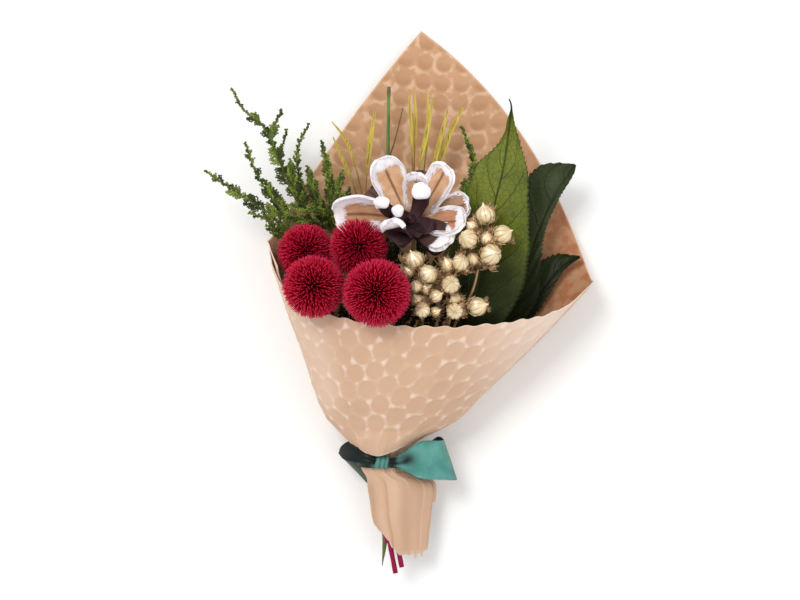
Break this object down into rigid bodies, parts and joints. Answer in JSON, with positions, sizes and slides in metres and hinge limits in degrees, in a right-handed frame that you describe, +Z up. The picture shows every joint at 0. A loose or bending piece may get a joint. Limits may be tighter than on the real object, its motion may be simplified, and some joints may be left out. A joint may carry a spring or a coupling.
{
  "type": "mixed flower bouquet",
  "caption": "Small mixed bouquet of spiky dyed heads, a painted pine cone, gilded seed pods, cedar and broad leaves in an embossed kraft paper cone tied with satin ribbon, lying down",
  "frame": {"origin": "on the surface that the bouquet lies on, in the middle of the flat spot on the back of its paper", "axes": "+Y from the cut stem ends to the tip of the paper, +X to the right as seen from above, +Z up, away from the surface it lies on"},
  "size_m": [0.1702, 0.2444, 0.074],
  "materials": {
    "kraft": "embossed matte kraft paper",
    "satin": "satin ribbon",
    "thread": "twisted thread",
    "crimson": "dyed dry plant, matte",
    "conewood": "dry cone scales with white painted rims",
    "pickwood": "raw wood",
    "gold": "gold paint on dry seed pods",
    "cedar": "preserved foliage, matte",
    "leaf": "preserved leaf, satin",
    "grass": "gilded dry grass",
    "twig": "fresh green bark"
  },
  "bodies": {
    "root": {"paper_wrap": "kraft", "ribbon_bow": "satin", "binding_thread": "thread", "pine_cone": "conewood", "cone_pick": "pickwood", "green_twig": "twig", "spiky_head_front_right": "crimson", "spiky_head_front_left": "crimson", "spiky_head_back_right": "crimson", "spiky_head_back_left": "crimson", "pod_spray_left": "gold", "pod_spray_middle": "gold", "pod_spray_right": "gold", "cedar_low": "cedar", "cedar_tall": "cedar", "cedar_inner": "cedar", "cedar_right": "cedar", "leaf_front": "leaf", "leaf_middle": "leaf", "leaf_back": "leaf", "grass_left": "grass", "grass_right": "grass"}
  },
  "joints": []
}
